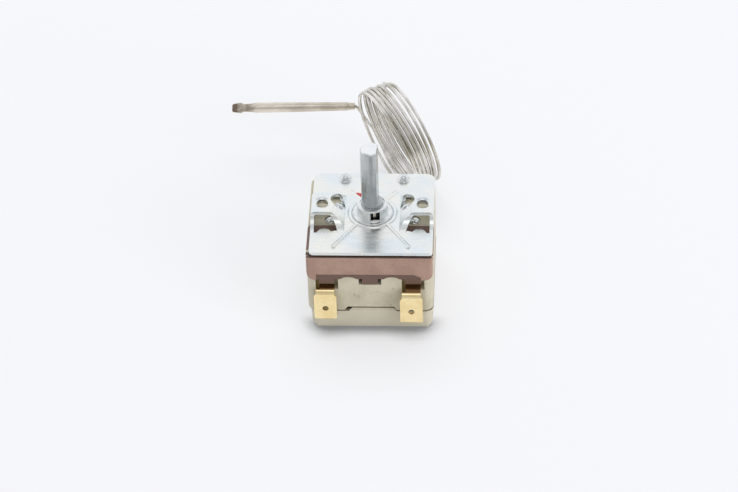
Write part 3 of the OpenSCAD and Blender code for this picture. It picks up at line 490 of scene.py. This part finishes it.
# %% Pocket
pocket, source, sink = open_group(
    "pocket", {"Low": ("vector", (0, 0, 0)), "High": ("vector", (0, 0, 0)), "Soft": ("number", 0.0001)},
    {"Mask": "number"})
where = add(pocket, "ShaderNodeTexCoord").outputs["Object"]
above = add(pocket, "ShaderNodeVectorMath", {0: where, 1: source.outputs["Low"]}, operation="SUBTRACT")
below = add(pocket, "ShaderNodeVectorMath", {0: source.outputs["High"], 1: where}, operation="SUBTRACT")
depth = add(pocket, "ShaderNodeVectorMath", {0: above.outputs[0], 1: below.outputs[0]},
            operation="MINIMUM")
inward = add(pocket, "ShaderNodeSeparateXYZ", {0: depth.outputs[0]}).outputs
least = calculate(pocket, "MINIMUM", inward[0], inward[1])
least = calculate(pocket, "MINIMUM", least, inward[2])
pocket.links.new(between(pocket, least, 0.0, source.outputs["Soft"]), sink.inputs["Mask"])


def shaded(tree, colour, low, high, soft_edge, shade, strength):
    """The colour mixed towards a shade inside a box from low to high, in mm, with a soft edge in mm."""
    inside = place_group(tree, pocket, Low=[v*MM for v in low], High=[v*MM for v in high],
                         Soft=soft_edge*MM)
    return mix_colours(tree, calculate(tree, "MULTIPLY", inside.outputs["Mask"], strength), colour, shade)


print("group:", pocket.name)

# %% [markdown]
# ## The metal finishes
# The metals differ in colour, in how rough they are and in the direction of their marks, so one
# function makes them all. Its colour drifts between a lighter and a darker tone, its roughness follows
# the streaks, and the same streaks stand out a few thousandths of a millimetre through a Bump node.
# Where a metal lies in a hollow or has a bright end, pockets paint light and shade into its colour:
# painted shade darkens the spindle's side, a painted highlight lightens its faced top, and painted shade
# makes the window of the bushing dark inside.

# %% Metal function
SMOOTHEST, ROUGHEST = 0.75, 1.3  # the least and the most roughness, as shares of the given one
METAL_RELIEF = 0.02*MM


def metal(name, light, dark, roughness, stretch, streak_scale, cloud_scale, bump, shades=()):
    """A metal whose tone drifts from dark to light and whose roughness spreads about its value by streaks."""
    material = bpy.data.materials.new(name)
    material.use_nodes = True
    tree = material.node_tree
    shader = tree.nodes["Principled BSDF"]
    shader.inputs["Metallic"].default_value = 1.0
    tone = place_group(tree, clouds, Light=(*light, 1), Dark=(*dark, 1), Scale=cloud_scale)
    marks = place_group(tree, streaks, Stretch=stretch, Scale=streak_scale).outputs["Mask"]
    spread = between(tree, marks, 0.0, 1.0, roughness*SMOOTHEST, roughness*ROUGHEST)
    raised = add(tree, "ShaderNodeBump", {"Strength": bump, "Distance": METAL_RELIEF, "Height": marks})
    colour = tone.outputs["Colour"]
    for shade in shades:
        colour = shaded(tree, colour, *shade)
    tree.links.new(colour, shader.inputs["Base Color"])
    tree.links.new(spread, shader.inputs["Roughness"])
    tree.links.new(raised.outputs["Normal"], shader.inputs["Normal"])
    return material


print("metal function ready")

# %% Metals
EVEN, ALONG_X, ALONG_Z = (1, 1, 1), (0.12, 1, 1), (1, 1, 0.06)
BLACK = (0.02, 0.02, 0.02)
# Painted light on the spindle: painted shade on its side, a painted highlight on its faced top, and painted
# shade inside the bushing's window
SPINDLE_PAINTED_LIGHT = [([-4, -4, 31.5], [4, 4, 50.4], 0.2, (0.36, 0.38, 0.395), 0.6),
                  ([-4, -4, 50.45], [4, 4, 60], 0.1, (0.97, 0.985, 1.0), 0.7),
                  ([-0.4, -4, 28.2], [2.2, -1.5, 31.0], 0.15, BLACK, 1.0)]
# Painted shade inside the bushing's window
WINDOW_PAINTED_SHADE = [([-0.4, -4.15, 28.2], [2.2, -1.5, 31.05], 0.15, BLACK, 1.0)]
# Light tone, dark tone, roughness, stretch and scale of the streaks, scale of the clouds, bump, shades
METALS = {
    "zinc_plate": ((0.90, 0.905, 0.86), (0.82, 0.87, 0.895), 0.26, ALONG_X, 1500.0, 130.0, 0.04),
    "turned_steel": ((0.80, 0.83, 0.84), (0.68, 0.71, 0.72), 0.25, ALONG_Z, 2200.0, 300.0, 0.12,
                     SPINDLE_PAINTED_LIGHT),
    "turned_steel_bushing": ((0.94, 0.95, 0.94), (0.80, 0.82, 0.82), 0.3, EVEN, 2600.0, 500.0, 0.25,
                             WINDOW_PAINTED_SHADE),
    "turned_steel_pin": ((0.85, 0.80, 0.70), (0.7, 0.65, 0.55), 0.35, EVEN, 900.0, 260.0, 0.12),
    "rivet_steel": ((0.84, 0.86, 0.86), (0.70, 0.72, 0.73), 0.2, EVEN, 1200.0, 500.0, 0.3),
    "brass": ((0.97, 0.80, 0.46), (0.90, 0.72, 0.38), 0.17, (1, 0.2, 0.2), 1300.0, 240.0, 0.05),
    "contact_silver": ((0.88, 0.87, 0.85), (0.7, 0.69, 0.66), 0.2, EVEN, 1500.0, 600.0, 0.1),
    "spring_bronze": ((0.74, 0.52, 0.3), (0.6, 0.4, 0.22), 0.3, (0.1, 1, 1), 1500.0, 300.0, 0.1),
    "capsule_steel": ((0.74, 0.73, 0.7), (0.6, 0.59, 0.56), 0.28, EVEN, 900.0, 300.0, 0.1),
    "capillary_steel": ((0.88, 0.86, 0.83), (0.55, 0.52, 0.455), 0.2, EVEN, 320.0, 110.0, 0.03),
    "bulb_steel": ((0.80, 0.73, 0.63), (0.62, 0.55, 0.46), 0.34, (0.15, 1, 1), 1100.0, 200.0, 0.2)}
finishes = {name: metal(name, *values) for name, values in METALS.items()}
print("metals:", ", ".join(finishes))

# %% [markdown]
# ## The bulb's darker end
# Heat from sealing has browned the flattened end of the bulb. The tube's own metal is kept, and its
# colour is mixed with a darker, warmer one along the length, by the Object coordinate that runs along
# the bulb. A noise makes the border ragged, and on one facet of the kink a painted highlight lightens
# the colour again.

# %% Bulb finish
BROWN_STARTS, BROWN_FULL = -33.5*MM, -38.5*MM
RAGGED, RAGGED_SCALE = 6*MM, 500.0
# A painted highlight: a lighter colour on one facet of the kink
KINK_HIGHLIGHT = ([-42.6, 40, 0], [-39.6, 80, 40], 0.6, (0.55, 0.48, 0.4), 0.8)
tree = finishes["bulb_steel"].node_tree
colour_in = tree.nodes["Principled BSDF"].inputs["Base Color"]
tone = colour_in.links[0].from_socket
where = add(tree, "ShaderNodeTexCoord").outputs["Object"]
along = add(tree, "ShaderNodeSeparateXYZ", {"Vector": where}).outputs["X"]
wave = add(tree, "ShaderNodeTexNoise", {"Vector": where, "Scale": RAGGED_SCALE, "Detail": 2.0})
ragged = calculate(tree, "MULTIPLY_ADD", wave.outputs["Fac"], RAGGED, along)
browned = mix_colours(tree, between(tree, ragged, BROWN_STARTS, BROWN_FULL), tone, (0.21, 0.16, 0.125))
tree.links.new(shaded(tree, browned, *KINK_HIGHLIGHT), colour_in)
print("bulb finish ready")

# %% [markdown]
# ## Ceramic and phenolic
# Steatite is pressed and fired without a glaze: matt, beige, a little cloudy, with fine dark grains and
# a slightly rough skin. Phenolic is moulded from resin and wood flour, which leaves a warm red-brown
# with lighter and darker flecks and a faint shine. Both are the same recipe with other numbers: clouds,
# then specks, then a few larger and weaker marks of handling. Pockets darken places in the colour: dust
# and painted shade in the seam, painted shade in the gaps at the ends of its tongue, on the lip under
# the apron and along the apron's top edge below the plate. One pocket makes the bottom cover a little
# lighter.

# %% Mineral function
BODY_CLOUDS, SKIN_SCALE, SKIN_RELIEF = 210.0, 3200.0, 0.03*MM
MARK_SCALE, MARK_SHARE, MARK_STRENGTH, MARK_TONE = 620.0, 0.105, 0.3, 0.6


def mineral(name, light, dark, fleck, roughness, share, fleck_scale, skin, shades=()):
    """A matt body: clouds mixed with flecks by the specks' mask, then with marks, then with its shades."""
    material = bpy.data.materials.new(name)
    material.use_nodes = True
    tree = material.node_tree
    shader = tree.nodes["Principled BSDF"]
    shader.inputs["Roughness"].default_value = roughness
    body = place_group(tree, clouds, Light=(*light, 1), Dark=(*dark, 1), Scale=BODY_CLOUDS)
    dots = place_group(tree, specks, Scale=fleck_scale, Share=share)
    marks = place_group(tree, specks, Scale=MARK_SCALE, Share=MARK_SHARE)
    fine = place_group(tree, streaks, Stretch=(1, 1, 1), Scale=SKIN_SCALE)
    grain = add(tree, "ShaderNodeBump", {"Strength": skin, "Distance": SKIN_RELIEF,
                                         "Height": fine.outputs["Mask"]})
    colour = mix_colours(tree, dots.outputs["Mask"], body.outputs["Colour"], fleck)
    faint = calculate(tree, "MULTIPLY", marks.outputs["Mask"], MARK_STRENGTH)
    colour = mix_colours(tree, faint, colour, [MARK_TONE*value for value in fleck])
    for shade in shades:
        colour = shaded(tree, colour, *shade)
    tree.links.new(colour, shader.inputs["Base Color"])
    tree.links.new(grain.outputs["Normal"], shader.inputs["Normal"])
    return material


print("mineral function ready")

# %% Minerals
# Dust and painted shade in the seam; painted shade in the gaps at the ends of the tongue
SEAM_DUST_AND_SHADE, TONGUE_GAP_SHADE = (0.13, 0.1, 0.055), (0.03, 0.025, 0.02)
# The bottom cover a little lighter, then dust and painted shade along the seam, then painted shade in the
# gaps at the ends of the tongue
SEAM_SHADES = [([-20, -20, -1], [20, 20, 6.38], 0.05, (0.72, 0.675, 0.54), 0.7),
               ([-20, -20, 5.97], [-6.4, 20, 6.5], 0.06, SEAM_DUST_AND_SHADE, 0.9),
               ([6.8, -20, 5.97], [20, 20, 6.5], 0.06, SEAM_DUST_AND_SHADE, 0.9),
               ([-6.1, -20, 7.22], [6.3, 20, 7.7], 0.06, SEAM_DUST_AND_SHADE, 0.9),
               ([-7.3, -16.98, 6.42], [-5.2, 16.98, 7.7], 0.06, TONGUE_GAP_SHADE, 1.0),
               ([5.7, -16.98, 6.42], [7.4, 16.98, 7.7], 0.06, TONGUE_GAP_SHADE, 1.0)]
# Painted shade on the lip under the apron and along its top edge below the plate
APRON_PAINTED_SHADE = [([-15.3, -17.32, 15], [13.8, 0, 19.95], 0.08, (0.13, 0.072, 0.052), 0.9),
                ([-20, -20, 25.9], [20, 20, 27], 0.15, (0.07, 0.04, 0.03), 0.9)]
# Light tone, dark tone, fleck, roughness, share and scale of the flecks, skin, shades
MINERALS = {
    "steatite": ((0.67, 0.62, 0.475), (0.585, 0.54, 0.40), (0.40, 0.34, 0.24), 0.6, 0.06, 2600.0, 0.3,
                 SEAM_SHADES),
    "phenolic": ((0.45, 0.285, 0.22), (0.39, 0.24, 0.185), (0.31, 0.18, 0.14), 0.45, 0.1, 2600.0, 0.15,
                 APRON_PAINTED_SHADE),
    "sleeve_dark": ((0.075, 0.07, 0.065), (0.045, 0.042, 0.04), BLACK, 0.6, 0.1, 1800.0, 0.3),
    "lacquer_red": ((0.74, 0.07, 0.06), (0.58, 0.04, 0.035), (0.42, 0.02, 0.02), 0.25, 0.08, 1500.0,
                    0.1)}
finishes |= {name: mineral(name, *values) for name, values in MINERALS.items()}
print("finishes:", len(finishes))

# %% [markdown]
# ## Giving out the finishes
# Every piece, new or carried over, takes the finish of its own slot, so that nothing is left grey, also
# inside the housing. The bushing with its rim ring is turned brighter than the spindle, and the stop
# pin is warmer, so these three take a finish of their own within the same slot.

# %% Assign finishes
pieces = {**{node: frame["nodes"][node] for node in slot_of},
          **{piece.name: piece for piece in soft.values()},
          "capillary_tube": capillary, "bulb_tube": bulb, "rim_ring": rim}
finish_of = {**slot_of, **{piece.name: slot_of[node] for node, piece in soft.items()},
             "capillary_tube": "capillary_steel", "bulb_tube": "bulb_steel",
             "rim_ring": "turned_steel_bushing", "spindle_bushing_soft": "turned_steel_bushing",
             "stop_pin": "turned_steel_pin"}
for name, piece in pieces.items():
    if piece.material_slots:
        for material_slot in piece.material_slots:
            material_slot.material = finishes[finish_of[name]]
    else:
        piece.data.materials.append(finishes[finish_of[name]])
print("pieces with a finish:", len(pieces))

# %% [markdown]
# ## The floor
# The object stands on a white sweep in soft daylight. The floor is partly lit and partly its own white:
# the lit part keeps the shadow, and the white part keeps the picture bright. Two places need help. Close
# in front of the housing the light hardly reaches the table, so an Ambient Occlusion node finds that
# strip and darkens it. And the blades mirror the table in front of them, which lies in the
# photographer's shade, so that patch is dimmer, for mirrored rays only.

# %% Floor
WHITE = (0.955, 0.962, 0.985, 1)
FLOOR = 3.0
LIT_WHITE, LIT_SHADE = (0.91, 0.915, 0.93), (0.1, 0.1, 0.08)
OWN_WHITE_SEEN, OWN_WHITE_MIRRORED = 0.55, 0.75
CONTACT_REACH, CONTACT_DARKEST = 7*MM, 0.85
OPEN_ABOVE, SHUT_BELOW = 0.9, 0.5
STRIP_STARTS, STRIP_FULL = -12*MM, -18*MM
PATCH_LOW, PATCH_HIGH, PATCH_SOFT, PATCH_LEVEL = (-0.026, -0.09, -1), (0.026, -0.049, 1), 6*MM, 0.25

floor_mesh = bpy.data.meshes.new("floor")
corners = [(-FLOOR, -FLOOR, 0), (FLOOR, -FLOOR, 0), (FLOOR, FLOOR, 0), (-FLOOR, FLOOR, 0)]
floor_mesh.from_pydata(corners, [], [(0, 1, 2, 3)])
floor = bpy.data.objects.new("floor", floor_mesh)
bpy.context.scene.collection.objects.link(floor)
sweep = bpy.data.materials.new("white sweep")
sweep.use_nodes = True
tree = sweep.node_tree
tree.nodes.clear()
rays = add(tree, "ShaderNodeLightPath").outputs
seen = calculate(tree, "MAXIMUM", rays["Is Camera Ray"], rays["Is Glossy Ray"])
seen = calculate(tree, "MAXIMUM", seen, rays["Is Transmission Ray"])
share = between(tree, rays["Is Glossy Ray"], 0.0, 1.0, OWN_WHITE_SEEN, OWN_WHITE_MIRRORED)
share = calculate(tree, "MULTIPLY", seen, share)

where = add(tree, "ShaderNodeTexCoord").outputs["Object"]
depth = add(tree, "ShaderNodeSeparateXYZ", {0: where}).outputs["Y"]
strip = between(tree, depth, STRIP_STARTS, STRIP_FULL)
near = add(tree, "ShaderNodeAmbientOcclusion", {"Distance": CONTACT_REACH}, samples=8)
shut = between(tree, near.outputs["AO"], OPEN_ABOVE, SHUT_BELOW, 0.0, CONTACT_DARKEST)
contact = calculate(tree, "MULTIPLY", shut, strip)
lit = add(tree, "ShaderNodeBsdfDiffuse", {"Color": mix_colours(tree, contact, LIT_WHITE, LIT_SHADE)})

patch = place_group(tree, pocket, Low=PATCH_LOW, High=PATCH_HIGH, Soft=PATCH_SOFT)
dimmed = calculate(tree, "MULTIPLY", patch.outputs["Mask"], rays["Is Glossy Ray"])
dimmed = between(tree, dimmed, 0.0, 1.0, 1.0, PATCH_LEVEL)
strength = calculate(tree, "MULTIPLY", calculate(tree, "SUBTRACT", 1.0, contact), dimmed)
glow = add(tree, "ShaderNodeEmission", {"Color": WHITE, "Strength": strength})
both = add(tree, "ShaderNodeMixShader", {0: share, 1: lit.outputs[0], 2: glow.outputs[0]})
add(tree, "ShaderNodeOutputMaterial", {"Surface": both.outputs[0]})
floor_mesh.materials.append(sweep)
print("floor half width, m:", FLOOR)

# %% [markdown]
# ## Surroundings and lamps
# The surroundings are white for the camera and a little weaker as a lamp, so that colours come out as
# they are written. Mirrored rays see a room: white all round, less bright on the camera's side, and with
# a bright panel overhead, a little in front, which gives bent metal its highlights. Two large, soft
# lamps stand behind and to the right, above the object. Metal doesn't mirror them, since their plain
# squares would burn out on it.

# %% Surroundings
AS_LAMP = 0.62
ROOM_STARTS, ROOM_ENDS, ROOM_DARKEST = 0.1, 0.65, 0.6
PANEL_MIDDLE, PANEL_STARTS, PANEL_FULL, PANEL_LEVEL = (0.05, -0.32, 0.946), 0.955, 0.985, 0.8

world = bpy.data.worlds.new("studio")
bpy.context.scene.world = world
world.use_nodes = True
tree = world.node_tree
tree.nodes.clear()
rays = add(tree, "ShaderNodeLightPath").outputs
seen = calculate(tree, "MAXIMUM", rays["Is Camera Ray"], rays["Is Transmission Ray"])
toward = add(tree, "ShaderNodeTexCoord").outputs["Generated"]
facing, over = (add(tree, "ShaderNodeVectorMath", {0: toward, 1: middle}, operation="DOT_PRODUCT")
                for middle in (back.tolist(), PANEL_MIDDLE))
room = between(tree, facing.outputs["Value"], ROOM_STARTS, ROOM_ENDS, 1.0, ROOM_DARKEST, "SMOOTHSTEP")
panel = between(tree, over.outputs["Value"], PANEL_STARTS, PANEL_FULL, 0.0, PANEL_LEVEL, "SMOOTHSTEP")
mirrored = calculate(tree, "ADD", room, panel)
unseen = between(tree, rays["Is Glossy Ray"], 0.0, 1.0, AS_LAMP, mirrored)
brightness = between(tree, seen, 0.0, 1.0, unseen, 1.0)
sky = add(tree, "ShaderNodeBackground", {"Color": WHITE, "Strength": brightness})
add(tree, "ShaderNodeOutputWorld", {"Surface": sky.outputs[0]})
print("surroundings ready")

# %% Lamps
AIM = np.array([0, 0.02, 0.02])
# Place in metres, size in metres and power in watts
LAMPS = {"window behind": ([-0.1, 0.55, 1.1], 0.9, 5.5), "window right": ([0.9, -0.6, 0.5], 0.7, 4.3)}

for name, (at, size, power) in LAMPS.items():
    data = bpy.data.lights.new(name, "AREA")
    data.size = size
    data.energy = power
    lamp = bpy.data.objects.new(name, data)
    ahead = unit(AIM - at)
    across = unit(np.cross(ahead, [0, 0, 1.0]))
    lamp.matrix_world = standing(across, np.cross(across, ahead), -ahead, at)
    bpy.context.scene.collection.objects.link(lamp)
    lamp.visible_glossy = False
print("lamps:", len(LAMPS))

# %% Finish
bpy.context.scene.view_settings.view_transform = "Standard"
